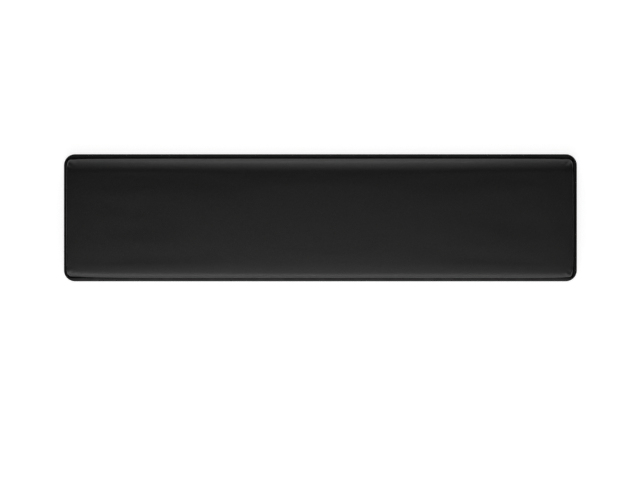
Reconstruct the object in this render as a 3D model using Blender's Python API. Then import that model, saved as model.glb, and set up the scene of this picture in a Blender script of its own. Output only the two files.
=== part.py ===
"""Keyboard wrist rest: a leatherette pad on a carrier board, screwed into a moulded tray on rubber feet.

Units are metres. +Z is up, +X runs along the rest, and +Y points away from the typist, to the keyboard.
The origin is on the desk, under the middle of the rest.
"""

import math

import bmesh
import bpy

# Driving dimensions
LENGTH = 0.360  # over the tray, along X
DEPTH = 0.0893  # over the tray, along Y
HEIGHT = 0.020  # from the desk to the crown of the pad
CORNER_RADIUS = 0.0078  # of the tray, seen from above
GAP = 0.0003  # between pieces that rest on each other

# Tray
FOOT_PROUD = 0.0008  # how far the feet stand out below the tray
TRAY_BOTTOM = FOOT_PROUD
TRAY_FLOOR = 0.0022
TRAY_WALL = 0.0024
RIM_TOP = 0.0096
RECESS_CORNER = 0.0026  # inside the wall, seen from above
RIM_OUTER_ROUND = 0.0003
RIM_INNER_ROUND = 0.0003
RIM_SLOPE = 10  # degrees that the rim's top falls away outwards
BOTTOM_ROUND = 0.0015
LEDGE_TOP = 0.0036  # the step inside the wall that carries the turned-under hem
LEDGE_WIDTH = 0.011
RIB_TOP = 0.0047
RIB_THICKNESS = 0.0016
RIB_PITCH = 0.032
CROSS_RIB_XS = [i * RIB_PITCH for i in (-5, -3, -2, 0, 2, 3, 5)]
LONG_RIB_YS = [-0.010, 0.010]

# Pad: the cover's outer skin over the foam
COVER_THICKNESS = 0.0008
PAD_CLEARANCE = (0.0011, 0.0008)  # between the pad and the tray's wall, at its ends and along its sides
PAD_SHIFT = (-0.0004, -0.0005, 0.0)  # the pad sits towards the left and the typist in that clearance
PAD_HALF_X = LENGTH / 2 - TRAY_WALL - PAD_CLEARANCE[0]
PAD_HALF_Y = DEPTH / 2 - TRAY_WALL - PAD_CLEARANCE[1]
PAD_CORNER = RECESS_CORNER - GAP  # corner radius at the crease
WAIST_RISE = 0.0016  # from the crease up to where the pad is widest
WAIST_BULGE = 0.0004  # how far the pad stands out over the crease there
SIDE_ROLL = 0.010  # across the rolled edge along the long sides, seen from above
END_ROLL = 0.0005  # radius of the edge at the ends, where the foam is cut square
END_ROLL_LEAST = 0.0002  # the same edge under the cover
WAIST = RIM_TOP + WAIST_RISE
CORE_X = PAD_HALF_X + WAIST_BULGE - END_ROLL
CORE_Y = PAD_HALF_Y + WAIST_BULGE - SIDE_ROLL
CROWN_RISE = 0.0024  # how much higher the middle is than the rolls alone would make it
CROWN_FLAT = 0.03  # share of the core that is left as a level strip along the very top
ROLL_RISE = HEIGHT - WAIST - CROWN_RISE
ROLL_TOP = 84  # degrees up the roll where the crown takes over
HEM_WIDTH = 0.0088
HEM_CORNER_RADIUS = 0.0020
HEM_BOTTOM = LEDGE_TOP + GAP
HEM_FOLD = 0.0011  # outer radius of the fold under the board

# How far the stretched cover draws the pad's long sides in at each corner, and how fast that dies away along
# the side, by the signs of x and y
CORNER_TUCKS = {
    (-1, -1): (0.0012, 0.020),
    (1, -1): (0.0006, 0.010),
    (1, 1): (0.0002, 0.008),
    (-1, 1): (0.0005, 0.008),
}

# Board, film and foam
BOARD_BOTTOM = HEM_BOTTOM + COVER_THICKNESS + GAP
BOARD_THICKNESS = 0.0030
BOARD_TOP = BOARD_BOTTOM + BOARD_THICKNESS
INNER_OFFSET = COVER_THICKNESS + GAP  # from the cover's outside to what it holds
FILM_BOTTOM = BOARD_TOP + GAP
FILM_THICKNESS = 0.0003
FILM_MARGIN = 0.0030
FILM_CORNER_RADIUS = 0.0030
FOAM_BOTTOM = FILM_BOTTOM + FILM_THICKNESS + GAP

# Screws
SCREW_XS = [-0.141, -0.047, 0.047, 0.141]
SCREW_YS = [-0.0205, 0.0205]
SCREW_HEAD_RADIUS = 0.0025
SCREW_HEAD_HEIGHT = 0.0015
SCREW_HEAD_ROUND = 0.0009
SCREW_SHANK_RADIUS = 0.0013
SCREW_POINT = 0.0012
SCREW_CLEARANCE = 0.0003
COUNTERBORE_DEPTH = 0.0018
HEAD_SUNK = 0.0001  # from the tray's underside to the screw head's crown
SCREW_PAD_RADIUS = 0.0052
RECESS_WIDTH = 0.0008
RECESS_REACH = 0.0014
RECESS_DEPTH = 0.0009

# Feet
FOOT_XS = {"left": -0.138, "middle": 0.0, "right": 0.138}
FOOT_YS = {"front": -0.0325, "rear": 0.0325}
FOOT_LENGTH = 0.046
FOOT_WIDTH = 0.009
FOOT_THICKNESS = 0.0018
FOOT_ROUND = 0.0004
FOOT_POCKET = FOOT_THICKNESS - FOOT_PROUD + GAP

# Facets: segments in each corner, along each side and round each hole
CORNER_STEPS = 5
PAD_SIDE_STEPS = (10, 6)  # along the pad's long and short sides, which curve
ROLL_STEPS = 6
CROWN_STEPS = 3
FOLD_STEPS = 2
HOLE_STEPS = 14
HEAD_STEPS = 2
EDGE_STEPS = 3
LIP_STEPS = 2
FOOT_STEPS = 2

COLOURS = {
    "leatherette": ((0.017, 0.017, 0.018), 0.42, 0.0),
    "tray_plastic": ((0.011, 0.011, 0.012), 0.38, 0.0),
    "board_plastic": ((0.09, 0.09, 0.095), 0.55, 0.0),
    "foam": ((0.55, 0.54, 0.50), 0.95, 0.0),
    "film": ((0.75, 0.73, 0.66), 0.30, 0.0),
    "screw_steel": ((0.055, 0.055, 0.06), 0.35, 0.9),
    "rubber": ((0.016, 0.016, 0.016), 0.80, 0.0),
}


def clear_scene():
    for obj in list(bpy.data.objects):
        bpy.data.objects.remove(obj, do_unlink=True)


def material(name):
    """The named Principled material, made once."""
    if name in bpy.data.materials:
        return bpy.data.materials[name]
    colour, roughness, metallic = COLOURS[name]
    made = bpy.data.materials.new(name)
    made.use_nodes = True
    shader = made.node_tree.nodes["Principled BSDF"]
    shader.inputs["Base Color"].default_value = (*colour, 1.0)
    shader.inputs["Roughness"].default_value = roughness
    shader.inputs["Metallic"].default_value = metallic
    return made


def add_object(name, mesh, material_name=None):
    obj = bpy.data.objects.new(name, mesh)
    bpy.context.scene.collection.objects.link(obj)
    if material_name:
        mesh.materials.clear()
        mesh.materials.append(material(material_name))
    return obj


def hide(helper):
    """Marks a cutter or another helper, which isn't a piece of the rest."""
    helper.hide_render = True
    helper.display_type = "WIRE"
    return helper


def smooth(mesh, degrees=35):
    mesh.shade_smooth()
    mesh.set_sharp_from_angle(angle=math.radians(degrees))


def mesh_from(name, bm):
    bmesh.ops.recalc_face_normals(bm, faces=bm.faces)
    mesh = bpy.data.meshes.new(name)
    bm.to_mesh(mesh)
    bm.free()
    return mesh


def arc(centre, radius, start, end, steps):
    """Points along an arc in a section, with the angles in degrees."""
    angles = [math.radians(start + (end - start) * i / steps) for i in range(steps + 1)]
    return [(centre[0] + radius * math.cos(a), centre[1] + radius * math.sin(a)) for a in angles]


def rounded_rectangle(half_x, half_y, radius, side_steps=(1, 1)):
    """An outline seen from above, counter-clockwise, with its sides in steps."""
    points = []
    for quarter, (sign_x, sign_y) in enumerate([(1, 1), (-1, 1), (-1, -1), (1, -1)]):
        corner = (sign_x * (half_x - radius), sign_y * (half_y - radius))
        points += arc(corner, radius, 90 * quarter, 90 * quarter + 90, CORNER_STEPS)
        start = points[-1]
        steps = side_steps[quarter % 2]
        end = (-start[0], start[1]) if quarter % 2 == 0 else (start[0], -start[1])
        for i in range(1, steps):
            # Cosine spacing puts the points near the corners, where the outline draws in.
            share = (1 - math.cos(math.pi * i / steps)) / 2
            points.append(tuple(start[k] + (end[k] - start[k]) * share for k in (0, 1)))
    return points


def level(outline, height):
    return [(x, y, height) for x, y in outline]


def loft(name, rings):
    """A closed skin through rings of points."""
    bm = bmesh.new()
    loops = [[bm.verts.new(point) for point in ring] for ring in rings]
    for lower, upper in zip(loops, loops[1:]):
        for i in range(len(lower)):
            j = (i + 1) % len(lower)
            bm.faces.new((lower[i], lower[j], upper[j], upper[i]))
    bm.faces.new(reversed(loops[0]))
    bm.faces.new(loops[-1])
    return mesh_from(name, bm)


def tray_outline(inset):
    """The tray's outline, drawn in by inset. Its corner tightens across the wall to that of the recess."""
    across = min(inset / TRAY_WALL, 1.0)
    past = max(inset - TRAY_WALL, 0.0)
    radius = CORNER_RADIUS + (RECESS_CORNER - CORNER_RADIUS) * across - past
    return rounded_rectangle(LENGTH / 2 - inset, DEPTH / 2 - inset, max(radius, RIM_INNER_ROUND))


def pad_outline(depth, bulge=0.0):
    """The pad's outline near the crease, at a depth under its skin."""
    inset = depth - bulge
    return rounded_rectangle(PAD_HALF_X - inset, PAD_HALF_Y - inset, PAD_CORNER - inset, PAD_SIDE_STEPS)


def roll_outline(depth, lift):
    """The pad's outline at a depth under its skin, lift degrees up its rolled edge from the waist."""
    out = math.cos(math.radians(lift))
    rise = ROLL_RISE - depth
    edge = max(END_ROLL - depth, END_ROLL_LEAST)
    over_edge = max(rise * math.sin(math.radians(lift)) - (rise - edge), 0.0) / edge
    half_x = CORE_X + END_ROLL - depth - edge * (1 - math.sqrt(1 - over_edge**2))
    half_y = CORE_Y + (SIDE_ROLL - depth) * out
    return rounded_rectangle(half_x, half_y, (PAD_CORNER + WAIST_BULGE - depth) * out, PAD_SIDE_STEPS)


def roll_height(y, depth, lift):
    """Height of the pad at a depth under its skin: the roll, and a crown that runs along the rest."""
    crown = CROWN_RISE * (1 - (y / PAD_HALF_Y) ** 2)
    return WAIST + (ROLL_RISE - depth + crown) * math.sin(math.radians(lift))


def tucked(x, y, z):
    """A point of the pad, with its long sides drawn in at their ends above the board."""
    draw, reach = CORNER_TUCKS[math.copysign(1, x), math.copysign(1, y)]
    across = max(abs(y) - CORE_Y, 0.0) / SIDE_ROLL
    along = max(CORE_X - abs(x), 0.0)
    up = min(max((z - BOARD_TOP) / (WAIST - BOARD_TOP), 0.0), 1.0)
    draw *= up * across**2 * math.exp(-along / reach)
    return x, y - math.copysign(draw, y), z


def pad_side(depth, height, bulge=0.0):
    """A level ring round the pad's side."""
    return [tucked(x, y, height) for x, y in pad_outline(depth, bulge)]


def pad_top(depth):
    """Rings from the crease over the waist and the rolled edge to the level strip along the crown."""
    half_way = math.radians(45)
    middle = WAIST - WAIST_RISE * math.cos(half_way)
    rings = [pad_side(depth, RIM_TOP), pad_side(depth, middle, WAIST_BULGE * math.sin(half_way))]
    for i in range(ROLL_STEPS + 1):
        lift = ROLL_TOP * i / ROLL_STEPS
        outline = roll_outline(depth, lift)
        rings.append([tucked(x, y, roll_height(y, depth, lift)) for x, y in outline])
    for i in range(1, CROWN_STEPS + 1):
        share = 1 - (1 - CROWN_FLAT) * i / CROWN_STEPS
        rings.append([(x * share, y * share, roll_height(y * share, depth, 90)) for x, y in outline])
    return rings


def cover_face(depth):
    """Rings over one face of the cover, at a depth under its outside: fold, upright side and top."""
    section = arc((HEM_FOLD, HEM_BOTTOM + HEM_FOLD), HEM_FOLD - depth, 270, 180, FOLD_STEPS)
    fold = [pad_side(inset, height) for inset, height in section]
    return [*fold, pad_side(depth, BOARD_TOP), *pad_top(depth)]


def leatherette_cover():
    """One sheet over the pad, down the side and round the fold to its hem, with an inside and an outside."""
    half_x, half_y = PAD_HALF_X - HEM_WIDTH, PAD_HALF_Y - HEM_WIDTH
    window = rounded_rectangle(half_x, half_y, HEM_CORNER_RADIUS, PAD_SIDE_STEPS)
    hem = [level(window, HEM_BOTTOM + COVER_THICKNESS), level(window, HEM_BOTTOM)]
    rings = [*reversed(cover_face(COVER_THICKNESS)), *hem, *cover_face(0.0)]
    mesh = loft("leatherette_cover", rings)
    smooth(mesh)
    add_object("leatherette_cover", mesh, "leatherette").location = PAD_SHIFT


def foam_core():
    """The crowned foam block that fills the cover above the board."""
    mesh = loft("foam_core", [pad_side(INNER_OFFSET, FOAM_BOTTOM), *pad_top(INNER_OFFSET)])
    smooth(mesh)
    add_object("foam_core", mesh, "foam").location = PAD_SHIFT


def foam_bonding_film():
    """The thin sheet under the foam, short of its edges."""
    inset = INNER_OFFSET + FILM_MARGIN
    half_x, half_y = PAD_HALF_X - inset, PAD_HALF_Y - inset
    outline = rounded_rectangle(half_x, half_y, FILM_CORNER_RADIUS)
    rings = [level(outline, FILM_BOTTOM), level(outline, FILM_BOTTOM + FILM_THICKNESS)]
    add_object("foam_bonding_film", loft("foam_bonding_film", rings), "film").location = PAD_SHIFT


def cylinder(name, radius, bottom, top, x, y):
    bm = bmesh.new()
    bmesh.ops.create_cone(
        bm,
        cap_ends=True,
        segments=HOLE_STEPS,
        radius1=radius,
        radius2=radius,
        depth=top - bottom,
    )
    bmesh.ops.translate(bm, verts=bm.verts, vec=(x, y, (bottom + top) / 2))
    return hide(add_object(name, mesh_from(name, bm)))


def combine(target, operation, helpers):
    """Cuts the helpers out of the target, or joins them to it."""
    for helper in helpers:
        step = target.modifiers.new(f"{operation.lower()}_{helper.name}", "BOOLEAN")
        step.operation = operation
        step.solver = "EXACT"
        step.object = helper


def screw_places():
    return [(x, y) for y in SCREW_YS for x in SCREW_XS]


def carrier_board():
    rings = [pad_side(INNER_OFFSET, BOARD_BOTTOM), pad_side(INNER_OFFSET, BOARD_TOP)]
    board = add_object("carrier_board", loft("carrier_board", rings), "board_plastic")
    board.location = PAD_SHIFT
    radius = SCREW_SHANK_RADIUS + SCREW_CLEARANCE
    holes = [
        cylinder(f"board_hole_{i}", radius, BOARD_BOTTOM - GAP, BOARD_TOP + GAP, x, y)
        for i, (x, y) in enumerate(screw_places(), 1)
    ]
    combine(board, "DIFFERENCE", holes)


def box(name, half_x, half_y, bottom, top, x=0.0, y=0.0):
    corners = [(half_x, half_y), (-half_x, half_y), (-half_x, -half_y), (half_x, -half_y)]
    outline = [(x + dx, y + dy) for dx, dy in corners]
    return hide(add_object(name, loft(name, [level(outline, bottom), level(outline, top)])))


def stadium(length, width, inset=0.0):
    """An outline with round ends, seen from above."""
    radius = width / 2 - inset
    reach = (length - width) / 2
    half_turn = 2 * CORNER_STEPS
    return arc((reach, 0), radius, -90, 90, half_turn) + arc((-reach, 0), radius, 90, 270, half_turn)


def shifted(outline, x, y):
    return [(x + dx, y + dy) for dx, dy in outline]


def rim_section():
    """The rim from the outer wall to the inner one: a rounded edge, a top that falls outwards, and a lip."""
    lip = (TRAY_WALL - RIM_INNER_ROUND, RIM_TOP - RIM_INNER_ROUND)
    slope = math.radians(RIM_SLOPE)
    run = lip[0] - RIM_OUTER_ROUND
    change = RIM_INNER_ROUND - RIM_OUTER_ROUND
    edge_height = lip[1] - run * math.tan(slope) + change / math.cos(slope)
    outer = arc((RIM_OUTER_ROUND, edge_height), RIM_OUTER_ROUND, 180, 90 + RIM_SLOPE, EDGE_STEPS)
    return outer + arc(lip, RIM_INNER_ROUND, 90 + RIM_SLOPE, 0, LIP_STEPS)


def tray_shell():
    """The tray before its ribs, pockets and holes: floor, ledge, wall and rounded rim."""
    low = arc((BOTTOM_ROUND, TRAY_BOTTOM + BOTTOM_ROUND), BOTTOM_ROUND, 270, 180, EDGE_STEPS)
    ledge_end = TRAY_WALL + LEDGE_WIDTH
    inside = [(TRAY_WALL, LEDGE_TOP), (ledge_end, LEDGE_TOP), (ledge_end, TRAY_BOTTOM + TRAY_FLOOR)]
    section = [*low, *rim_section(), *inside]
    return loft("base_tray", [level(tray_outline(inset), height) for inset, height in section])


def tray_ribs():
    """Ribs under the board, sunk a little into the floor and the ledge so that they join them."""
    bottom = TRAY_BOTTOM + TRAY_FLOOR / 2
    reach_x = LENGTH / 2 - TRAY_WALL - LEDGE_WIDTH + GAP
    reach_y = DEPTH / 2 - TRAY_WALL - LEDGE_WIDTH + GAP
    across = [
        box(f"cross_rib_{i}", RIB_THICKNESS / 2, reach_y, bottom, RIB_TOP, x=x)
        for i, x in enumerate(CROSS_RIB_XS, 1)
    ]
    along = [
        box(f"long_rib_{i}", reach_x, RIB_THICKNESS / 2, bottom, RIB_TOP, y=y)
        for i, y in enumerate(LONG_RIB_YS, 1)
    ]
    return across + along


def foot_places():
    return [(f"foot_{row}_{column}", x, y) for row, y in FOOT_YS.items() for column, x in FOOT_XS.items()]


def foot_pockets():
    outline = stadium(FOOT_LENGTH + 2 * GAP, FOOT_WIDTH + 2 * GAP)
    pockets = []
    for name, x, y in foot_places():
        rings = [level(shifted(outline, x, y), z) for z in (0.0, TRAY_BOTTOM + FOOT_POCKET)]
        pockets.append(hide(add_object(f"{name}_pocket", loft(f"{name}_pocket", rings))))
    return pockets


def base_tray():
    tray = add_object("base_tray", tray_shell(), "tray_plastic")
    floor_middle = TRAY_BOTTOM + TRAY_FLOOR / 2
    bore_top = TRAY_BOTTOM + COUNTERBORE_DEPTH
    pads, bores, holes = [], [], []
    for i, (x, y) in enumerate(screw_places(), 1):
        pads.append(cylinder(f"screw_pad_{i}", SCREW_PAD_RADIUS, floor_middle, RIB_TOP, x, y))
        head_room = SCREW_HEAD_RADIUS + SCREW_CLEARANCE
        bores.append(cylinder(f"counterbore_{i}", head_room, 0.0, bore_top, x, y))
        shank_room = SCREW_SHANK_RADIUS + SCREW_CLEARANCE
        holes.append(cylinder(f"screw_hole_{i}", shank_room, 0.0, RIB_TOP + GAP, x, y))
    combine(tray, "UNION", tray_ribs() + pads)
    combine(tray, "DIFFERENCE", foot_pockets() + bores + holes)
    smooth(tray.data)


def screw_blank():
    """A pan-head self-tapping screw, head down, turned about its own axis from the crown of its head."""
    tip = BOARD_TOP - GAP - (TRAY_BOTTOM + HEAD_SUNK)
    shoulder = (SCREW_HEAD_RADIUS - SCREW_HEAD_ROUND, SCREW_HEAD_ROUND)
    profile = [
        (0.0, 0.0),
        *arc(shoulder, SCREW_HEAD_ROUND, 270, 360, HEAD_STEPS),
        (SCREW_HEAD_RADIUS, SCREW_HEAD_HEIGHT),
        (SCREW_SHANK_RADIUS, SCREW_HEAD_HEIGHT),
        (SCREW_SHANK_RADIUS, tip - SCREW_POINT),
        (0.0, tip),
    ]
    bm = bmesh.new()
    verts = [bm.verts.new((radius, 0.0, z)) for radius, z in profile]
    edges = [bm.edges.new(pair) for pair in zip(verts, verts[1:])]
    bmesh.ops.spin(
        bm,
        geom=verts + edges,
        axis=(0, 0, 1),
        cent=(0, 0, 0),
        angle=2 * math.pi,
        steps=HOLE_STEPS,
        use_merge=True,
    )
    bmesh.ops.remove_doubles(bm, verts=bm.verts, dist=GAP / 100)
    return hide(add_object("screw_blank", mesh_from("screw_blank", bm)))


def screw_mesh():
    """The blank with a cross recess in its head."""
    blank = screw_blank()
    arms = [
        box("recess_arm_x", RECESS_REACH, RECESS_WIDTH / 2, -RECESS_DEPTH, RECESS_DEPTH),
        box("recess_arm_y", RECESS_WIDTH / 2, RECESS_REACH, -RECESS_DEPTH, RECESS_DEPTH),
    ]
    combine(blank, "DIFFERENCE", arms)
    bpy.context.view_layer.update()
    graph = bpy.context.evaluated_depsgraph_get()
    mesh = bpy.data.meshes.new_from_object(blank.evaluated_get(graph))
    mesh.name = "board_screw"
    smooth(mesh)
    return mesh


def board_screws():
    mesh = screw_mesh()
    for i, (x, y) in enumerate(screw_places(), 1):
        screw = add_object(f"board_screw_{i}", mesh, "screw_steel")
        screw.location = (x, y, TRAY_BOTTOM + HEAD_SUNK)


def rubber_feet():
    """Feet with round ends and a softened edge on the desk, standing in the tray's pockets."""
    edge = arc((FOOT_ROUND, FOOT_ROUND), FOOT_ROUND, 270, 180, FOOT_STEPS)
    section = [*edge, (0.0, FOOT_THICKNESS)]
    rings = [level(stadium(FOOT_LENGTH, FOOT_WIDTH, inset), z) for inset, z in section]
    mesh = loft("rubber_foot", rings)
    smooth(mesh)
    for name, x, y in foot_places():
        foot = add_object(name, mesh, "rubber")
        foot.location = (x, y, 0.0)


def main():
    clear_scene()
    base_tray()
    rubber_feet()
    carrier_board()
    board_screws()
    foam_bonding_film()
    foam_core()
    leatherette_cover()


main()
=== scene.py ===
"""Looks of the keyboard wrist rest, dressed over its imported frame.

Units are metres. +Z is up, +X runs along the rest, and +Y points to the keyboard.
The camera looks straight down, with the typist's side at the bottom of the picture.
"""

import math

import bmesh
import bpy
from mathutils import Matrix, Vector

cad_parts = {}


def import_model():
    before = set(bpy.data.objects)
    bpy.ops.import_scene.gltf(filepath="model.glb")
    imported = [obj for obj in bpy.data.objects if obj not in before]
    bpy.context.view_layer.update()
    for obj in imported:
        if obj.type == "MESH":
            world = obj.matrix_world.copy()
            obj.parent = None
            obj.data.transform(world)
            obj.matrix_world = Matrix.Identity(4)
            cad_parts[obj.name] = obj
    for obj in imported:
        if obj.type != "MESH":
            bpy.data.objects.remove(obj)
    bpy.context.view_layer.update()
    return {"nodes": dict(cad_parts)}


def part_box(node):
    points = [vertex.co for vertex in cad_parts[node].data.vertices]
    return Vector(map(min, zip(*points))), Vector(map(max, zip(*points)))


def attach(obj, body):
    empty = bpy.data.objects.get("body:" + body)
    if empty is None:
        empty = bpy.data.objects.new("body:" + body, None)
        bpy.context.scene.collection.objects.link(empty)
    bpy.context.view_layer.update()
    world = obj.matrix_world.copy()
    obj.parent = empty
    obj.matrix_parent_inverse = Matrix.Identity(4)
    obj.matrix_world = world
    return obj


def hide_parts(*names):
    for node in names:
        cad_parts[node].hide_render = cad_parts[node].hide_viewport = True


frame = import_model()

# Sizes read from the frame
TRAY_LOW, TRAY_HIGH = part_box("base_tray")
COVER_LOW, COVER_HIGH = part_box("leatherette_cover")
FOAM_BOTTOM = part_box("foam_core")[0].z
BOARD_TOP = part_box("carrier_board")[1].z
FEET = sorted(name for name in frame["nodes"] if name.startswith("foot_"))
FOOT_LOW, FOOT_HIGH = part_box(FEET[0])
FOOT_LENGTH = FOOT_HIGH.x - FOOT_LOW.x
FOOT_WIDTH = FOOT_HIGH.y - FOOT_LOW.y
FOOT_THICKNESS = FOOT_HIGH.z - FOOT_LOW.z
SCREWS = sorted(name for name in frame["nodes"] if name.startswith("board_screw_"))
SCREW_LOW, SCREW_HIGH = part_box(SCREWS[0])
SCREW_LENGTH = SCREW_HIGH.z - SCREW_LOW.z
HEAD_RADIUS = (SCREW_HIGH.x - SCREW_LOW.x) / 2

GAP = 0.0003  # between pieces that rest on each other

# Tray
TRAY_BOTTOM = TRAY_LOW.z
TRAY_FLOOR = 0.0022  # thickness of its floor
TRAY_WALL = 0.0024
TRAY_CORNER = 0.0078  # radius outside the wall, seen from above
RECESS_CORNER = 0.0026  # radius inside the wall, seen from above
RIM_TOP = TRAY_HIGH.z
RIM_OUTER_ROUND = 0.0003
RIM_INNER_ROUND = 0.0003
RIM_SLOPE = 10  # degrees that the rim's top falls away outwards
RIM_WEAR = 0.0012  # how far down the rim its edge is rubbed
BOTTOM_ROUND = 0.0015
LEDGE_TOP = 0.0036  # the step inside the wall that carries the turned-under hem
LEDGE_WIDTH = 0.011
RIB_TOP = 0.0047
RIB_THICKNESS = 0.0016
RIB_PITCH = 0.032
CROSS_RIB_XS = [i * RIB_PITCH for i in (-5, -3, -2, 0, 2, 3, 5)]
LONG_RIB_YS = [-0.010, 0.010]
FOOT_POCKET = 0.0013  # depth of the pockets for the feet
SCREW_PAD_RADIUS = 0.0052
SCREW_HOLE_RADIUS = 0.0016
COUNTERBORE_DEPTH = 0.0018
COUNTERBORE_RADIUS = 0.0028
MOUTH_CHAMFER = 0.0003  # round the pockets and the counterbores

# Feet
FOOT_ROUND = 0.0004
GROOVE_WIDTH = 0.0010  # of the grooves across a foot's sole
GROOVE_DEPTH = 0.00035
GROOVE_PITCH = 0.0032
GROOVE_MARGIN = 0.0013  # from the grooves' ends to the foot's sides
GROOVES = 11

# Screws
HEAD_HEIGHT = 0.0015
HEAD_ROUND = 0.0009  # from the crown to the side of the head
HEAD_EDGE = 0.00015  # round the flat side of the head
THREAD_RADIUS = 0.0013
THREAD_DEPTH = 0.0003
THREAD_PITCH = 0.0011
SCREW_POINT = 0.0012  # length of the pointed end
SCREW_TIP = 0.000075  # radius that the point ends in
RECESS_WIDTH = 0.0008
RECESS_REACH = 0.0014
RECESS_DEPTH = 0.0009
RECESS_TAPER = 0.6  # width and reach at the bottom of the recess, as shares of those at its mouth

# Steps of the curves on the tray, the feet and the screws
CORNER_STEPS = 14  # in a quarter turn seen from above
EDGE_STEPS = 6  # round the outer edges of the tray and the feet
LIP_STEPS = 5  # round the rim's inner edge
SCREW_STEPS = 32  # round a screw's axis
CROWN_STEPS = 8  # from the crown to the side of a screw's head
HEAD_EDGE_STEPS = 3
THREAD_RINGS = 8  # in each turn of the thread

# Pad: the cover's outside, over the foam
COVER_THICKNESS = 0.0008
FOAM_DEPTH = COVER_THICKNESS + GAP  # from the cover's outside to the foam
PAD_CLEARANCE = (0.0011, 0.0008)  # between the pad and the tray's wall, at its ends and along its sides
PAD_SHIFT = (-0.0004, -0.0005, 0.0)  # the pad sits towards the left and the typist in that clearance
PAD_HALF_X = TRAY_HIGH.x - TRAY_WALL - PAD_CLEARANCE[0]
PAD_HALF_Y = TRAY_HIGH.y - TRAY_WALL - PAD_CLEARANCE[1]
PAD_CORNER = RECESS_CORNER - GAP  # corner radius at the crease
WAIST_RISE = 0.0016  # from the crease up to where the pad is widest
WAIST_BULGE = 0.0004  # how far the pad stands out over the crease there
WAIST = RIM_TOP + WAIST_RISE
SIDE_ROLL = 0.010  # across the rolled edge along the long sides, seen from above
END_ROLL = 0.0005  # radius of the edge at the ends, where the foam is cut square
END_ROLL_LEAST = 0.0002  # the same edge under the cover
CORE_X = PAD_HALF_X + WAIST_BULGE - END_ROLL
CORE_Y = PAD_HALF_Y + WAIST_BULGE - SIDE_ROLL
CROWN_RISE = 0.0024  # how much higher the middle is than the rolls alone would make it
ROLL_RISE = COVER_HIGH.z - WAIST - CROWN_RISE
HEM_WIDTH = 0.0088
HEM_CORNER = 0.0020
HEM_BOTTOM = COVER_LOW.z
HEM_FOLD = 0.0011  # outer radius of the fold under the board
BACK_BOW = 0.00025  # how far the back side bows out between its corners

# How far the stretched cover draws the long sides in at each corner, and how fast that dies away along the
# side, by the signs of x and y
CORNER_TUCKS = {
    (-1, -1): (0.0012, 0.020),
    (1, -1): (0.0006, 0.010),
    (1, 1): (0.0002, 0.008),
    (-1, 1): (0.0005, 0.008),
}

# Pleats where the cover gathers round each corner, by the signs of x and y. They fan out from a point
# inside the corner, at angles in degrees from the X axis.
PLEATS = {
    (-1, -1): (17, 41, 66),
    (1, -1): (14, 36, 58),
    (1, 1): (16, 47, 71),
    (-1, 1): (15, 35, 61),
}
PLEAT_REACH = 0.010  # from the fan's point out to the pad's sides
PLEAT_START = 0.004  # where the pleats begin, out from the fan's point
PLEAT_DEPTH = 0.0003
PLEAT_WIDTH = 4.5  # degrees

# Mesh density of the pad: rings on each stretch of its section, and steps along its sides
HEM_RINGS = 3
FOLD_RINGS = 4
SIDE_RINGS = 4
WAIST_RINGS = 4
ROLL_RINGS = 14
LONG_STEPS = 90
SHORT_STEPS = 38
LONG_CROWDING = 0.90  # how much closer the steps come together towards the corners
SHORT_CROWDING = 0.80

# Swelling of the cover over its foam
SWELL_RISE = 0.0007  # how much lower the crown starts, since it swells by about as much
SWELL_FRAMES = 20
SWELL_PRESSURE = 4
SWELL_CAP = 0.0008  # the furthest that a point may move
HEM_HOLD = 1.0  # how firmly the cover is held below the crease
FOAM_HOLD = 0.1  # how firmly the glued foam holds it above the crease
END_HOLD = 0.16  # the same on the pad's ends, where the cover is pulled straight down
CLOTH_QUALITY = 5
CLOTH_MASS = 0.002
CLOTH_STIFFNESS = {"tension": 30, "compression": 30, "shear": 15, "bending": 2}

# Shading
SMOOTH_ANGLE = 35  # degrees between two faces, from which the edge between them is sharp
COVER_SMOOTH_ANGLE = 60
SATIN_SPECULAR = 0.25  # specular level of the leatherette and of the tray's plastic
NOISE_DETAIL = 3.0
GRAIN_WAVES = 0.6  # waves of the noise that bends the pebbles, to each pebble

# Floor and surroundings
FLOOR_HALF = 4.0
FLOOR_GREY = 0.45
FLOOR_ROUGHNESS = 0.9
NEAR_GLOW = 0.83  # how bright the floor is seen under the rest
FAR_GLOW = 1.0  # the same far away from it
GLOW_START = 0.22  # distance from the rest's middle at which the floor begins to brighten
GLOW_END = 0.5
HORIZON_GLOW = 0.95
DOME_GLOW = 0.08
DOME_START = 0.05  # how high the horizon's glow reaches, as the sine of the elevation

# Softboxes: side of the rest, lower and upper edge in degrees above the floor, distance from the rest,
# width, radiance, and place of the middle along X
FRONT = -1
BACK = 1
SOFTBOXES = {
    "back_low_softbox": (BACK, (1, 12), 0.62, 0.36, 4.9, -0.012),
    "back_middle_softbox": (BACK, (12, 40), 0.62, 0.36, 1.93, -0.012),
    "back_high_softbox": (BACK, (40, 53), 0.62, 0.36, 1.1, -0.012),
    "front_low_softbox": (FRONT, (1, 6), 0.62, 0.78, 10.0, -0.12),
    "front_middle_softbox": (FRONT, (6, 34), 0.62, 0.60, 1.22, -0.03),
    "front_high_softbox": (FRONT, (34, 58), 0.75, 0.5, 1.58, -0.02),
    "front_top_softbox": (FRONT, (58, 84), 0.95, 0.7, 1.34, -0.008),
    "top_softbox": (FRONT, (84, 100), 1.1, 0.6, 0.98, -0.008),
}

# Camera
PHOTO_WIDTH = 640
PHOTO_OBJECT_WIDTH = 513.1  # pixels from the rest's left edge to its right edge
PHOTO_OBJECT_RISE = 22.25  # pixels from the picture's middle up to the rest's middle
PHOTO_OBJECT_SHIFT = 0.41  # pixels from the picture's middle right to the rest's middle
LENS = 150
SENSOR = 36


# Meshes and pieces


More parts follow.
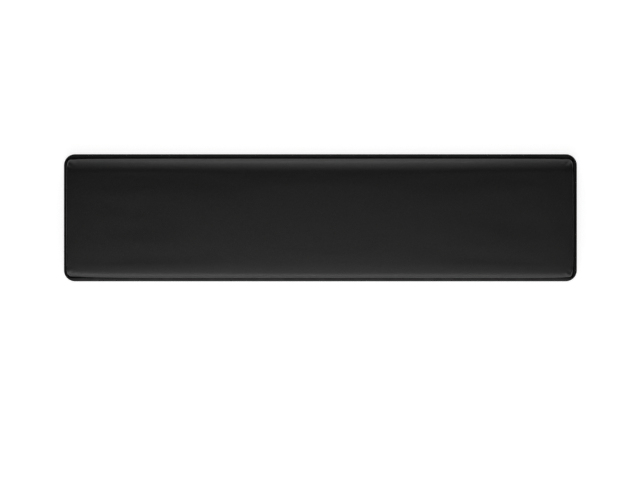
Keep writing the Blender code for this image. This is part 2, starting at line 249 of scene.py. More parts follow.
def arc(centre, radius, start, end, steps):
    """Points along an arc, with the angles in degrees."""
    angles = [math.radians(start + (end - start) * i / steps) for i in range(steps + 1)]
    return [(centre[0] + radius * math.cos(a), centre[1] + radius * math.sin(a)) for a in angles]


def level(outline, height):
    return [(x, y, height) for x, y in outline]


def mesh_from(name, bm):
    bmesh.ops.recalc_face_normals(bm, faces=bm.faces)
    mesh = bpy.data.meshes.new(name)
    bm.to_mesh(mesh)
    bm.free()
    return mesh


def link(name, mesh):
    made = bpy.data.objects.new(name, mesh)
    bpy.context.scene.collection.objects.link(made)
    return made


def evaluated_mesh(obj):
    """A new mesh with the object's modifiers applied."""
    bpy.context.view_layer.update()
    graph = bpy.context.evaluated_depsgraph_get()
    return bpy.data.meshes.new_from_object(obj.evaluated_get(graph))


def finish_mesh(mesh, material, smooth_angle):
    mesh.materials.clear()
    mesh.materials.append(material)
    mesh.shade_smooth()
    mesh.set_sharp_from_angle(angle=math.radians(smooth_angle))


def add_piece(name, mesh, node, material, smooth_angle=SMOOTH_ANGLE, place=(0, 0, 0)):
    """Puts a mesh in the scene as the piece that stands for a CAD node."""
    piece = link(name, mesh)
    piece.location = place
    finish_mesh(mesh, material, smooth_angle)
    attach(piece, "root")
    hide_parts(node)
    return piece


# Materials


class Shading:
    """A material's node tree, with short calls to add nodes and join them."""

    def __init__(self, name):
        self.material = bpy.data.materials.new(name)
        self.material.use_nodes = True
        self.tree = self.material.node_tree
        self.shader = self.tree.nodes["Principled BSDF"]
        self.place = self.node("ShaderNodeTexCoord").outputs["Object"]
        self.normal = None

    def node(self, kind, inputs=None, **settings):
        """A new node with its settings, and with values or other nodes' outputs in its inputs."""
        made = self.tree.nodes.new(kind)
        for key, value in settings.items():
            setattr(made, key, value)
        for key, value in (inputs or {}).items():
            self.feed(made.inputs[key], value)
        return made

    def feed(self, socket, value):
        if isinstance(value, bpy.types.NodeSocket):
            self.tree.links.new(value, socket)
        else:
            socket.default_value = value

    def combine(self, operation, first, second):
        return self.node("ShaderNodeMath", {0: first, 1: second}, operation=operation).outputs[0]

    def noise(self, size):
        """Soft noise whose features are about size across."""
        inputs = {"Vector": self.place, "Scale": 1 / size, "Detail": NOISE_DETAIL}
        return self.node("ShaderNodeTexNoise", inputs).outputs["Fac"]

    def cells(self, size):
        """Distance to the middle of the nearest of many cells about size across."""
        inputs = {"Vector": self.place, "Scale": 1 / size}
        return self.node("ShaderNodeTexVoronoi", inputs, feature="F1").outputs["Distance"]

    def grain(self, size, crease):
        """Irregular pebbles about size across: 1 on top of a pebble, falling to 0 in the creases between."""
        waves = {"Vector": self.place, "Scale": GRAIN_WAVES / size}
        wander = self.node("ShaderNodeTexNoise", waves).outputs["Color"]
        shift = self.node("ShaderNodeVectorMath", {0: wander, "Scale": size}, operation="SCALE").outputs[0]
        place = self.node("ShaderNodeVectorMath", {0: self.place, 1: shift}, operation="ADD").outputs[0]
        pebbles = {"Vector": place, "Scale": 1 / size}
        edge = self.node("ShaderNodeTexVoronoi", pebbles, feature="DISTANCE_TO_EDGE").outputs["Distance"]
        rise = {"Value": edge, "From Max": crease}
        return self.node("ShaderNodeMapRange", rise, interpolation_type="SMOOTHSTEP").outputs["Result"]

    def height(self):
        return self.node("ShaderNodeSeparateXYZ", {"Vector": self.place}).outputs["Z"]

    def span(self, value, low=0.0, high=1.0, start=0.0, end=1.0):
        """value from start to end, mapped to low to high."""
        inputs = {"Value": value, "From Min": start, "From Max": end, "To Min": low, "To Max": high}
        return self.node("ShaderNodeMapRange", inputs).outputs["Result"]

    def blend(self, share, first, second):
        """A colour between two others."""
        inputs = {"Factor": share, "A": first, "B": second}
        return self.node("ShaderNodeMix", inputs, data_type="RGBA").outputs["Result"]

    def bump(self, height, depth):
        """A layer of relief, depth metres deep, over the layers before it."""
        made = self.node("ShaderNodeBump", {"Height": height, "Distance": depth, "Strength": 1.0})
        if self.normal is not None:
            self.feed(made.inputs["Normal"], self.normal)
        self.normal = made.outputs["Normal"]
        self.feed(self.shader.inputs["Normal"], self.normal)

    def surface(self, inputs):
        """Fills the shader's sockets and gives the material."""
        for key, value in inputs.items():
            self.feed(self.shader.inputs[key], value)
        return self.material


def grey(shade, warmth=0.0):
    return (shade * (1 + warmth), shade, shade * (1 - warmth), 1.0)


def leatherette_material():
    """Black coated fabric: a pebble grain, duller in its creases and darker there as painted shade, and an
    uneven satin sheen.
    """
    made = Shading("leatherette_visual")
    pebbles = made.grain(size=0.0009, crease=0.4)
    mottle = made.span(made.noise(size=0.02), start=0.3, end=0.7)
    made.bump(made.noise(size=0.0003), depth=0.000006)
    made.bump(pebbles, depth=0.000028)
    worn = made.blend(mottle, grey(0.0105), grey(0.0117))
    # the creases between the pebbles are painted darker: painted shade
    colour = made.blend(pebbles, grey(0.0070), worn)
    sheen = made.span(mottle, low=0.285, high=0.315)
    dulling = made.span(pebbles, low=0.10, high=0.0)
    roughness = made.combine("ADD", sheen, dulling)
    return made.surface({"Base Color": colour, "Roughness": roughness, "Specular IOR Level": SATIN_SPECULAR})


def tray_material():
    """Black moulded plastic with a fine matt texture, rubbed a little paler and smoother on the rim."""
    made = Shading("tray_plastic_visual")
    made.bump(made.noise(size=0.0004), depth=0.000016)
    mottle = made.span(made.noise(size=0.012), start=0.3, end=0.7)
    on_rim = made.span(made.height(), start=RIM_TOP - RIM_WEAR, end=RIM_TOP)
    patches = made.span(made.noise(size=0.007), start=0.45, end=0.62)
    rubbed = made.combine("MULTIPLY", on_rim, patches)
    plain = made.blend(mottle, grey(0.0060), grey(0.0085))
    colour = made.blend(rubbed, plain, grey(0.014))
    texture = made.span(mottle, low=0.33, high=0.43)
    polish = made.span(rubbed, low=0.0, high=0.07)
    roughness = made.combine("SUBTRACT", texture, polish)
    return made.surface({"Base Color": colour, "Roughness": roughness, "Specular IOR Level": SATIN_SPECULAR})


def rubber_material():
    """Matt black rubber with a dusty bloom."""
    made = Shading("rubber_visual")
    made.bump(made.noise(size=0.0007), depth=0.00002)
    bloom = made.noise(size=0.006)
    dust = made.span(bloom, start=0.35, end=0.65)
    colour = made.blend(dust, grey(0.014), grey(0.024))
    roughness = made.span(bloom, low=0.72, high=0.88)
    return made.surface({"Base Color": colour, "Roughness": roughness})


def screw_material():
    """Black zinc on steel, a little brighter where the driver has rubbed."""
    made = Shading("screw_steel_visual")
    made.bump(made.noise(size=0.0004), depth=0.000008)
    rub = made.noise(size=0.0009)
    bright = made.span(rub, start=0.45, end=0.75)
    colour = made.blend(bright, grey(0.05), grey(0.12))
    roughness = made.span(rub, low=0.30, high=0.48)
    return made.surface({"Base Color": colour, "Metallic": 0.9, "Roughness": roughness})


def foam_material():
    """Open-cell foam, off-white, with painted shade in its pores."""
    made = Shading("foam_visual")
    pores = made.cells(size=0.0011)
    made.bump(pores, depth=0.0002)
    painted_pore_shade = made.span(pores, start=0.1, end=0.7)
    # the pores are painted darker than the foam round them: painted shade
    colour = made.blend(painted_pore_shade, grey(0.36, warmth=0.04), grey(0.58, warmth=0.03))
    return made.surface({"Base Color": colour, "Roughness": 0.95})


def board_material():
    """Dark grey moulded board."""
    made = Shading("board_plastic_visual")
    made.bump(made.noise(size=0.0006), depth=0.00001)
    flow = made.noise(size=0.015)
    colour = made.blend(flow, grey(0.07), grey(0.11))
    roughness = made.span(flow, low=0.48, high=0.62)
    return made.surface({"Base Color": colour, "Roughness": roughness})


def film_material():
    """Cream adhesive film."""
    made = Shading("film_visual")
    made.bump(made.noise(size=0.002), depth=0.00002)
    streak = made.noise(size=0.008)
    colour = made.blend(streak, grey(0.66, warmth=0.06), grey(0.76, warmth=0.04))
    roughness = made.span(streak, low=0.25, high=0.38)
    return made.surface({"Base Color": colour, "Roughness": roughness})


# Pad


def side_path(half_length, half_depth, radius, steps, crowding):
    """One side of a rounded outline, from the middle of one corner to the middle of the next.

    Gives (along, outward) pairs, closer together towards the corners.
    """
    straight = half_length - radius
    reach = straight + radius * math.pi / 4
    points = []
    for i in range(steps + 1):
        even = 2 * i / steps - 1
        eased = 1.5 * even - 0.5 * even**3  # slows down towards both corners
        run = reach * ((1 - crowding) * even + crowding * eased)
        past = abs(run) - straight
        if past > 0 and radius > 0:
            turn = past / radius
            along = math.copysign(straight + radius * math.sin(turn), run)
            points.append((along, half_depth - radius + radius * math.cos(turn)))
        else:
            points.append((run, half_depth))
    return points


def ring_outline(half_x, half_y, radius):
    """A closed outline seen from above, counter-clockwise from the middle of the front left corner."""
    long_side = side_path(half_x, half_y, radius, LONG_STEPS, LONG_CROWDING)
    short_side = side_path(half_y, half_x, radius, SHORT_STEPS, SHORT_CROWDING)
    front = [(along, -outward) for along, outward in long_side[:-1]]
    right = [(outward, along) for along, outward in short_side[:-1]]
    return [*front, *right, *[(-x, -y) for x, y in front + right]]


def pad_outline(depth, bulge=0.0):
    """The pad's outline near the crease, at a depth under its skin."""
    inset = depth - bulge
    return ring_outline(PAD_HALF_X - inset, PAD_HALF_Y - inset, PAD_CORNER - inset)


def roll_outline(depth, lift):
    """The pad's outline at a depth under its skin, lift degrees up its rolled edge from the waist."""
    out = max(math.cos(math.radians(lift)), 0.0)
    rise = ROLL_RISE - depth
    edge = max(END_ROLL - depth, END_ROLL_LEAST)
    over_edge = max(rise * math.sin(math.radians(lift)) - (rise - edge), 0.0) / edge
    half_x = CORE_X + END_ROLL - depth - edge * (1 - math.sqrt(max(1 - over_edge**2, 0.0)))
    half_y = CORE_Y + (SIDE_ROLL - depth) * out
    return ring_outline(half_x, half_y, (PAD_CORNER + WAIST_BULGE - depth) * out)


def roll_height(y, depth, lift):
    """Height of the pad at a depth under its skin: the roll, and a crown that runs along the rest."""
    crown = (CROWN_RISE - SWELL_RISE) * (1 - (y / PAD_HALF_Y) ** 2)
    return WAIST + (ROLL_RISE - depth + crown) * math.sin(math.radians(lift))


def corner_of(x, y):
    return int(math.copysign(1, x)), int(math.copysign(1, y))


def tucked(x, y, z):
    """A point of the pad after its long sides are drawn in at their ends and its back side is bowed out."""
    draw, reach = CORNER_TUCKS[corner_of(x, y)]
    across = max(abs(y) - CORE_Y, 0.0) / SIDE_ROLL
    along = max(CORE_X - abs(x), 0.0)
    up = min(max((z - BOARD_TOP) / (WAIST - BOARD_TOP), 0.0), 1.0)
    inward = math.copysign(draw * math.exp(-along / reach), y)
    bow = BACK_BOW * (1 - (x / PAD_HALF_X) ** 4) if y > 0 else 0.0
    return x, y + up * across**2 * (bow - inward), z


def gathered(x, y, z, lift, share=1.0):
    """A point of the pad's skin after the cover has gathered into pleats round the corners.

    The skin leans back lift degrees from upright there, and takes that share of the pleats' depth.
    """
    over_x = abs(x) - (PAD_HALF_X - PLEAT_REACH)
    over_y = abs(y) - (PAD_HALF_Y - PLEAT_REACH)
    distance = math.hypot(over_x, over_y)
    if distance < PLEAT_START:
        return x, y, z
    turn = math.degrees(math.atan2(over_y, over_x))
    angles = PLEATS[corner_of(x, y)]
    folds = sum(math.exp(-(((turn - angle) / PLEAT_WIDTH) ** 2)) for angle in angles)
    fade = min((distance - PLEAT_START) / (PLEAT_REACH - PLEAT_START), 1.0)
    draw = share * PLEAT_DEPTH * fade**2 * folds
    inward = draw * math.cos(math.radians(lift)) / distance
    x -= math.copysign(over_x * inward, x)
    y -= math.copysign(over_y * inward, y)
    return x, y, z - draw * math.sin(math.radians(lift))


def pad_side(depth, height, bulge=0.0):
    """A level ring round the pad's side."""
    share = bulge / WAIST_BULGE
    return [gathered(*tucked(x, y, height), 0, share) for x, y in pad_outline(depth, bulge)]


def roll_rings(depth):
    """Rings from the crease over the waist and the rolled edge to the crown."""
    rings = []
    for i in range(WAIST_RINGS):
        turn = math.pi / 2 * i / WAIST_RINGS
        rings.append(pad_side(depth, WAIST - WAIST_RISE * math.cos(turn), WAIST_BULGE * math.sin(turn)))
    for i in range(ROLL_RINGS + 1):
        lift = 90 * i / ROLL_RINGS
        outline = roll_outline(depth, lift)
        rings.append([gathered(*tucked(x, y, roll_height(y, depth, lift)), lift) for x, y in outline])
    return rings


def cover_rings(depth):
    """Rings of the cover at a depth under its outside, from the hem's edge to the top of the rolled edge."""
    window = ring_outline(PAD_HALF_X - HEM_WIDTH, PAD_HALF_Y - HEM_WIDTH, HEM_CORNER)
    hem_height = HEM_BOTTOM + depth
    edge = pad_side(HEM_FOLD, hem_height)
    rings = []
    for i in range(HEM_RINGS):
        share = i / HEM_RINGS
        points = [(a + (c - a) * share, b + (d - b) * share) for (a, b), (c, d, _) in zip(window, edge)]
        rings.append(level(points, hem_height))
    low = HEM_BOTTOM + HEM_FOLD
    for inset, height in arc((HEM_FOLD, low), HEM_FOLD - depth, 270, 180, FOLD_RINGS):
        rings.append(pad_side(inset, height))
    for i in range(1, SIDE_RINGS):
        rings.append(pad_side(depth, low + (RIM_TOP - low) * i / SIDE_RINGS))
    return rings + roll_rings(depth)


def join_rings(bm, rings):
    """Adds quads through rings of points. Gives the rings' vertices."""
    loops = [[bm.verts.new(point) for point in ring] for ring in rings]
    for lower, upper in zip(loops, loops[1:]):
        for i in range(len(lower)):
            j = (i + 1) % len(lower)
            bm.faces.new((lower[i], lower[j], upper[j], upper[i]))
    return loops


def skin(bm, rings, depth):
    """Adds quads through the pad's rings, closed over the crown by a grid. Gives the rings' vertices."""
    loops = join_rings(bm, rings)
    last = loops[-1]
    grid = {}
    for i in range(LONG_STEPS + 1):
        grid[i, 0] = last[i]
        grid[i, SHORT_STEPS] = last[2 * LONG_STEPS + SHORT_STEPS - i]
    for j in range(1, SHORT_STEPS):
        grid[LONG_STEPS, j] = last[LONG_STEPS + j]
        grid[0, j] = last[len(last) - j]
    for i in range(1, LONG_STEPS):
        for j in range(1, SHORT_STEPS):
            x, y = grid[i, 0].co.x, grid[LONG_STEPS, j].co.y
            grid[i, j] = bm.verts.new((x, y, roll_height(y, depth, 90)))
    for i in range(LONG_STEPS):
        for j in range(SHORT_STEPS):
            bm.faces.new((grid[i, j], grid[i + 1, j], grid[i + 1, j + 1], grid[i, j + 1]))
    return loops


def hold_cover(draft):
    """A vertex group that says how firmly each point of the cover is held."""
    held = draft.vertex_groups.new(name="held")
    for vertex in draft.data.vertices:
        glue = END_HOLD if abs(vertex.co.x) > CORE_X else FOAM_HOLD
        hold = HEM_HOLD if vertex.co.z < RIM_TOP + GAP else glue
        held.add([vertex.index], hold, "REPLACE")
    return held


def add_cloth(draft, held):
    """A cloth simulation that swells the cover."""
    cloth = draft.modifiers.new("swell", "CLOTH")
    settings = cloth.settings
    settings.quality = CLOTH_QUALITY
    settings.mass = CLOTH_MASS
    for kind, stiffness in CLOTH_STIFFNESS.items():
        setattr(settings, f"{kind}_stiffness", stiffness)
    settings.vertex_group_mass = held.name
    settings.use_pressure = True
    settings.uniform_pressure_force = SWELL_PRESSURE
    settings.effector_weights.gravity = 0
    cloth.collision_settings.use_collision = False
    cloth.point_cache.frame_start = 1
    cloth.point_cache.frame_end = SWELL_FRAMES


def swelling():
    """How far each point of the cover's outside moves under the foam's pressure."""
    bm = bmesh.new()
    skin(bm, cover_rings(0.0), 0.0)
    draft = link("cover_draft", mesh_from("cover_draft", bm))
    add_cloth(draft, hold_cover(draft))
    scene = bpy.context.scene
    for number in range(1, SWELL_FRAMES + 1):
        scene.frame_set(number)
    swollen = evaluated_mesh(draft)
    moves = [after.co - before.co for after, before in zip(swollen.vertices, draft.data.vertices)]
    bpy.data.objects.remove(draft)
    scene.frame_set(1)
    return [move * (SWELL_CAP / max(move.length, SWELL_CAP)) for move in moves]


def cover_blank(moves):
    """The cover as a closed mesh: its outside and its inside, moved alike and joined round the hem's edge."""
    bm = bmesh.new()
    outside, inside = [skin(bm, cover_rings(depth), depth) for depth in (0.0, COVER_THICKNESS)]
    outer, inner = outside[0], inside[0]
    for i in range(len(outer)):
        j = (i + 1) % len(outer)
        bm.faces.new((outer[j], outer[i], inner[i], inner[j]))
    bm.verts.ensure_lookup_table()
    inside_start = len(bm.verts) // 2
    for i, move in enumerate(moves):
        bm.verts[i].co += move
        bm.verts[inside_start + i].co += move
    return mesh_from("cover_blank", bm)


def run_over(points):
    return sum(math.dist(a, b) for a, b in zip(points, points[1:]))


def cover_cut(rings):
    """Width and length of the sheet before it was wrapped, measured over the middles of its sides."""
    front = [ring[LONG_STEPS // 2] for ring in rings]
    end = [ring[LONG_STEPS + SHORT_STEPS // 2] for ring in rings]
    ys = [CORE_Y * (2 * i / SHORT_STEPS - 1) for i in range(SHORT_STEPS + 1)]
    crown = run_over([(y, roll_height(y, 0.0, 90)) for y in ys])
    return 2 * run_over(front) + crown, 2 * run_over(end) + 2 * end[-1][0]


def leatherette_cover():
    """The cover, swollen over the foam and subdivided."""
    blank = link("cover_blank", cover_blank(swelling()))
    subdivision = blank.modifiers.new("subdivision", "SUBSURF")
    subdivision.levels = 1
    mesh = evaluated_mesh(blank)
    bpy.data.objects.remove(blank)
    mesh.name = "leatherette_cover_visual"
    mesh.transform(Matrix.Translation(PAD_SHIFT))
    material = leatherette_material()
    cover = add_piece(mesh.name, mesh, "leatherette_cover", material, COVER_SMOOTH_ANGLE)
    cover_cut(cover_rings(0.0))


def foam_core():
    """The foam block under the cover, closed underneath."""
    bm = bmesh.new()
    rings = [pad_side(FOAM_DEPTH, FOAM_BOTTOM), *roll_rings(FOAM_DEPTH)]
    loops = skin(bm, rings, FOAM_DEPTH)
    bm.faces.new(reversed(loops[0]))
    mesh = mesh_from("foam_core_visual", bm)
    mesh.transform(Matrix.Translation(PAD_SHIFT))
    foam = add_piece(mesh.name, mesh, "foam_core", foam_material())
    return foam


# Tray, feet and screws


def rectangle(half_x, half_y):
    """Its corners seen from above, counter-clockwise."""
    return [(half_x, half_y), (-half_x, half_y), (-half_x, -half_y), (half_x, -half_y)]


def rounded_rectangle(half_x, half_y, radius):
    """An outline seen from above, counter-clockwise."""
    points = []
    for quarter, (x, y) in enumerate(rectangle(half_x - radius, half_y - radius)):
        points += arc((x, y), radius, 90 * quarter, 90 * quarter + 90, CORNER_STEPS)
    return points


def stadium(length, width, inset=0.0):
    """An outline with round ends, seen from above."""
    radius = width / 2 - inset
    reach = (length - width) / 2
    half_turn = 2 * CORNER_STEPS
    return arc((reach, 0), radius, -90, 90, half_turn) + arc((-reach, 0), radius, 90, 270, half_turn)


def circle(radius):
    return arc((0.0, 0.0), radius, 0, 360, 4 * CORNER_STEPS)[:-1]


def moved(outline, x, y):
    return [(x + dx, y + dy) for dx, dy in outline]


def lofts(name, solids):
    """One mesh of closed skins, each given as its rings of points."""
    bm = bmesh.new()
    for rings in solids:
        loops = join_rings(bm, rings)
        bm.faces.new(reversed(loops[0]))
        bm.faces.new(loops[-1])
    return mesh_from(name, bm)


def carved(mesh, steps):
    """The mesh after Boolean steps, given as (operation, helper mesh) pairs."""
    target = link("carving", mesh)
    helpers = []
    for operation, helper_mesh in steps:
        helper = link("carving_helper", helper_mesh)
        helper.hide_render = True
        step = target.modifiers.new(operation, "BOOLEAN")
        step.operation = operation
        step.solver = "EXACT"
        step.object = helper
        helpers.append(helper)
    result = evaluated_mesh(target)
    for made in [target, *helpers]:
        bpy.data.objects.remove(made)
    return result


def place_of(node):
    """The middle of a CAD node, seen from above."""
    low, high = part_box(node)
    return (low.x + high.x) / 2, (low.y + high.y) / 2


def rim_section():
    """The rim from the outer wall to the inner one: a rounded edge, a top that falls outwards, and a lip."""
    slope = math.radians(RIM_SLOPE)
    square_to_top = 90 + RIM_SLOPE
    lip = (TRAY_WALL - RIM_INNER_ROUND, RIM_TOP - RIM_INNER_ROUND)
    run = lip[0] - RIM_OUTER_ROUND
    change = RIM_INNER_ROUND - RIM_OUTER_ROUND
    edge_height = lip[1] - run * math.tan(slope) + change / math.cos(slope)
    edge = (RIM_OUTER_ROUND, edge_height)
    outer = arc(edge, RIM_OUTER_ROUND, 180, square_to_top, EDGE_STEPS)
    return outer + arc(lip, RIM_INNER_ROUND, square_to_top, 0, LIP_STEPS)


def tray_outline(inset):
    """The tray's outline, drawn in by inset. Its corner tightens across the wall to that of the recess."""
    across = min(inset / TRAY_WALL, 1.0)
    past = max(inset - TRAY_WALL, 0.0)
    radius = TRAY_CORNER + (RECESS_CORNER - TRAY_CORNER) * across - past
    return rounded_rectangle(TRAY_HIGH.x - inset, TRAY_HIGH.y - inset, max(radius, RIM_INNER_ROUND))


def tray_shell():
    """Floor, ledge, wall and rim of the tray, as one solid."""
    low = arc((BOTTOM_ROUND, TRAY_BOTTOM + BOTTOM_ROUND), BOTTOM_ROUND, 270, 180, EDGE_STEPS)
    ledge_end = TRAY_WALL + LEDGE_WIDTH
    inside = [(TRAY_WALL, LEDGE_TOP), (ledge_end, LEDGE_TOP), (ledge_end, TRAY_BOTTOM + TRAY_FLOOR)]
    rings = [level(tray_outline(inset), height) for inset, height in [*low, *rim_section(), *inside]]
    return lofts("base_tray_visual", [rings])


def tray_ribs():
    """Outlines of the ribs under the board, which run a little way into the ledge so that they join it."""
    reach_x = TRAY_HIGH.x - TRAY_WALL - LEDGE_WIDTH + GAP
    reach_y = TRAY_HIGH.y - TRAY_WALL - LEDGE_WIDTH + GAP
    ribs = [moved(rectangle(RIB_THICKNESS / 2, reach_y), x, 0.0) for x in CROSS_RIB_XS]
    ribs += [moved(rectangle(reach_x, RIB_THICKNESS / 2), 0.0, y) for y in LONG_RIB_YS]
    return ribs


def tray_supports():
    """Meshes of the ribs and of the screws' pads, which start inside the floor so that they join it."""
    pads = [moved(circle(SCREW_PAD_RADIUS), *place_of(screw)) for screw in SCREWS]
    floor_middle = TRAY_BOTTOM + TRAY_FLOOR / 2
    meshes = []
    for outline in tray_ribs() + pads:
        rings = [level(outline, floor_middle), level(outline, RIB_TOP)]
        meshes.append(lofts("raised", [rings]))
    return meshes


def foot_pocket(inset):
    return stadium(FOOT_LENGTH + 2 * GAP, FOOT_WIDTH + 2 * GAP, inset)


def counterbore(inset):
    return circle(COUNTERBORE_RADIUS - inset)


def sunk(outline_of, node, depth):
    """Rings of a cutter at a node's place, up into the tray's underside, that widens to a chamfered mouth."""
    section = [(-2 * MOUTH_CHAMFER, -MOUTH_CHAMFER), (0.0, MOUTH_CHAMFER), (0.0, depth)]
    return [level(moved(outline_of(inset), *place_of(node)), TRAY_BOTTOM + rise) for inset, rise in section]


def screw_hole(screw):
    """Rings of a cutter right through the tray."""
    outline = moved(circle(SCREW_HOLE_RADIUS), *place_of(screw))
    return [level(outline, TRAY_BOTTOM), level(outline, RIB_TOP + GAP)]


def tray_cutters():
    """Meshes of the pockets for the feet, the counterbores and the screw holes."""
    pockets = [sunk(foot_pocket, foot, FOOT_POCKET) for foot in FEET]
    bores = [sunk(counterbore, screw, COUNTERBORE_DEPTH) for screw in SCREWS]
    holes = [screw_hole(screw) for screw in SCREWS]
    return [lofts("cut", solids) for solids in (pockets, bores, holes)]


def base_tray():
    """The shell with its ribs and pads joined to it, and its pockets and holes cut out."""
    steps = [("UNION", mesh) for mesh in tray_supports()]
    steps += [("DIFFERENCE", mesh) for mesh in tray_cutters()]
    mesh = carved(tray_shell(), steps)
    add_piece("base_tray_visual", mesh, "base_tray", tray_material())


def sole_grooves():
    """A mesh of cutters for the grooves across a foot's sole."""
    groove = [(y, x) for x, y in stadium(FOOT_WIDTH - 2 * GROOVE_MARGIN, GROOVE_WIDTH)]
    cutters = []
    for i in range(GROOVES):
        outline = moved(groove, (i - (GROOVES - 1) / 2) * GROOVE_PITCH, 0.0)
        cutters.append([level(outline, -GROOVE_DEPTH), level(outline, GROOVE_DEPTH)])
    return lofts("grooves", cutters)


def rubber_feet():
    """Feet with round ends, a softened edge on the desk and grooves across the sole."""
    edge = arc((FOOT_ROUND, FOOT_ROUND), FOOT_ROUND, 270, 180, EDGE_STEPS)
    section = [*edge, (0.0, FOOT_THICKNESS)]
    rings = [level(stadium(FOOT_LENGTH, FOOT_WIDTH, inset), z) for inset, z in section]
    mesh = carved(lofts("rubber_foot", [rings]), [("DIFFERENCE", sole_grooves())])
    material = rubber_material()
    for foot in FEET:
        add_piece(f"{foot}_visual", mesh, foot, material, place=(*place_of(foot), 0.0))


def screw_ring(radius, height, thread=0.0):
    """A ring round a screw's axis. thread is how far a helical ridge stands out of it."""
    points = []
    for i in range(SCREW_STEPS):
        turn = i / SCREW_STEPS
        phase = (height / THREAD_PITCH - turn) % 1.0
        ridge = max(1 - abs(4 * phase - 2), 0.0)
        reach = radius + thread * ridge
        angle = 2 * math.pi * turn
        points.append((reach * math.cos(angle), reach * math.sin(angle), height))
    return points


def screw_head():
    """Rings from the crown of a screw's head round to its flat side."""
    crown = arc((HEAD_RADIUS - HEAD_ROUND, HEAD_ROUND), HEAD_ROUND, 270, 360, CROWN_STEPS)
    edge = arc((HEAD_RADIUS - HEAD_EDGE, HEAD_HEIGHT - HEAD_EDGE), HEAD_EDGE, 0, 90, HEAD_EDGE_STEPS)
    return [screw_ring(radius, z) for radius, z in crown + edge]


def screw_shank():
    """Rings of the threaded shank, from the head to the point."""
    core = THREAD_RADIUS - THREAD_DEPTH
    length = SCREW_LENGTH - HEAD_HEIGHT
    count = int(length / THREAD_PITCH * THREAD_RINGS)
    rings = [screw_ring(core, HEAD_HEIGHT)]
    for i in range(1, count + 1):
        z = HEAD_HEIGHT + length * i / count
        share = min((SCREW_LENGTH - z) / SCREW_POINT, 1.0)
        start = min(i / THREAD_RINGS, 1.0)
        rings.append(screw_ring(max(core * share, SCREW_TIP), z, THREAD_DEPTH * share * start))
    return rings


def recess_arms():
    """Meshes of the two tapered bars that cut the cross recess, which start a little outside the crown."""
    arms = []
    for half_x, half_y in [(RECESS_REACH, RECESS_WIDTH / 2), (RECESS_WIDTH / 2, RECESS_REACH)]:
        opening = level(rectangle(half_x, half_y), -HEAD_EDGE)
        bottom = level(rectangle(half_x * RECESS_TAPER, half_y * RECESS_TAPER), RECESS_DEPTH)
        arms.append(lofts("recess", [[opening, bottom]]))
    return arms


def board_screws():
    """Pan-head self-tapping screws, head down, modelled with the crown at the origin."""
    blank = lofts("board_screw", [screw_head() + screw_shank()])
    mesh = carved(blank, [("DIFFERENCE", arm) for arm in recess_arms()])
    material = screw_material()
    for screw in SCREWS:
        place = (*place_of(screw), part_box(screw)[0].z)
        add_piece(f"{screw}_visual", mesh, screw, material, place=place)


def hidden_sheets():
    """The board and the film keep their CAD shapes and get their finish."""
    for node, material in [("carrier_board", board_material()), ("foam_bonding_film", film_material())]:
        for slot in frame["nodes"][node].material_slots:
            slot.material = material


# Stage


def floor_material():
    """A matt grey that the camera and reflections see as a pale, evenly lit ground."""
    made = Shading("floor")
    path = made.node("ShaderNodeLightPath")
    seen = made.combine("MAXIMUM", path.outputs["Is Camera Ray"], path.outputs["Is Glossy Ray"])
    seen = made.combine("MAXIMUM", seen, path.outputs["Is Transmission Ray"])
    distance = made.node("ShaderNodeVectorMath", {0: made.place}, operation="LENGTH").outputs["Value"]
    glow = made.span(distance, low=NEAR_GLOW, high=FAR_GLOW, start=GLOW_START, end=GLOW_END)
    return made.surface({
        "Base Color": grey(FLOOR_GREY),
        "Roughness": FLOOR_ROUGHNESS,
        "Specular IOR Level": 0.0,
        "Emission Color": grey(1.0),
        "Emission Strength": made.combine("MULTIPLY", seen, glow),
    })


def floor():
    mesh = bpy.data.meshes.new("floor")
    mesh.from_pydata(level(rectangle(FLOOR_HALF, FLOOR_HALF), 0.0), [], [(0, 1, 2, 3)])
    mesh.materials.append(floor_material())
    plane = link("floor", mesh)


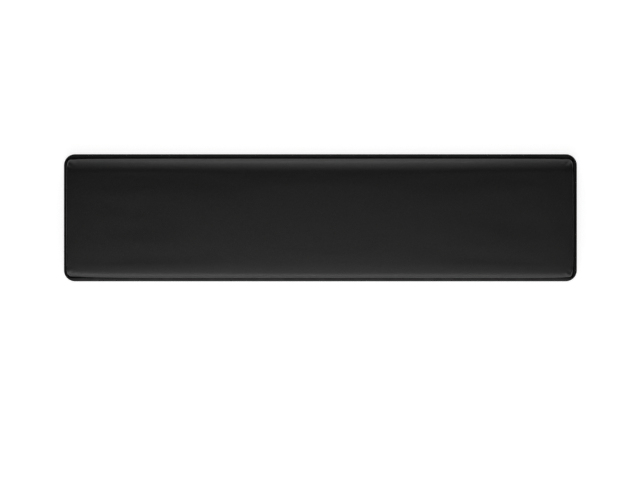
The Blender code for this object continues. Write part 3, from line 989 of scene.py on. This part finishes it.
def softbox(name, side, elevations, distance, width, radiance, aside):
    """A rectangular lamp of even radiance that faces the rest and isn't itself seen."""
    low, high = (math.radians(angle) for angle in elevations)
    height = 2 * distance * math.tan((high - low) / 2)
    middle = (low + high) / 2
    lamp = bpy.data.lights.new(name, "AREA")
    lamp.shape = "RECTANGLE"
    lamp.size = width
    lamp.size_y = height
    lamp.energy = radiance * math.pi * width * height
    holder = bpy.data.objects.new(name, lamp)
    holder.location = (aside, side * distance * math.cos(middle), distance * math.sin(middle))
    holder.rotation_euler = (-holder.location).to_track_quat("-Z", "Y").to_euler()
    holder.visible_camera = False
    bpy.context.scene.collection.objects.link(holder)


def lights():
    for name, settings in SOFTBOXES.items():
        softbox(name, *settings)


def world():
    """A dim dome that turns pale towards the horizon."""
    studio = bpy.data.worlds.new("studio")
    bpy.context.scene.world = studio
    studio.use_nodes = True
    nodes, links = studio.node_tree.nodes, studio.node_tree.links
    background = nodes["Background"]
    background.inputs["Color"].default_value = grey(1.0)
    direction = nodes.new("ShaderNodeTexCoord").outputs["Generated"]
    split = nodes.new("ShaderNodeSeparateXYZ")
    links.new(direction, split.inputs["Vector"])
    fade = nodes.new("ShaderNodeMapRange")
    links.new(split.outputs["Z"], fade.inputs["Value"])
    fade.inputs["From Min"].default_value = 0.0
    fade.inputs["From Max"].default_value = DOME_START
    fade.inputs["To Min"].default_value = HORIZON_GLOW
    fade.inputs["To Max"].default_value = DOME_GLOW
    links.new(fade.outputs["Result"], background.inputs["Strength"])


def camera():
    """Straight down over the rest, at the photograph's framing."""
    lens = bpy.data.cameras.new("camera")
    lens.lens = LENS
    lens.sensor_width = SENSOR
    metres_per_pixel = (TRAY_HIGH.x - TRAY_LOW.x) / PHOTO_OBJECT_WIDTH
    distance = metres_per_pixel * PHOTO_WIDTH * LENS / SENSOR
    eye = bpy.data.objects.new("camera", lens)
    shift_x = -PHOTO_OBJECT_SHIFT * metres_per_pixel
    shift_y = -PHOTO_OBJECT_RISE * metres_per_pixel
    eye.location = (shift_x, shift_y, RIM_TOP + distance)
    bpy.context.scene.collection.objects.link(eye)
    bpy.context.scene.camera = eye


foam = foam_core()
leatherette_cover()
base_tray()
rubber_feet()
board_screws()
hidden_sheets()
floor()
lights()
world()
camera()
bpy.context.scene.view_settings.view_transform = "Standard"
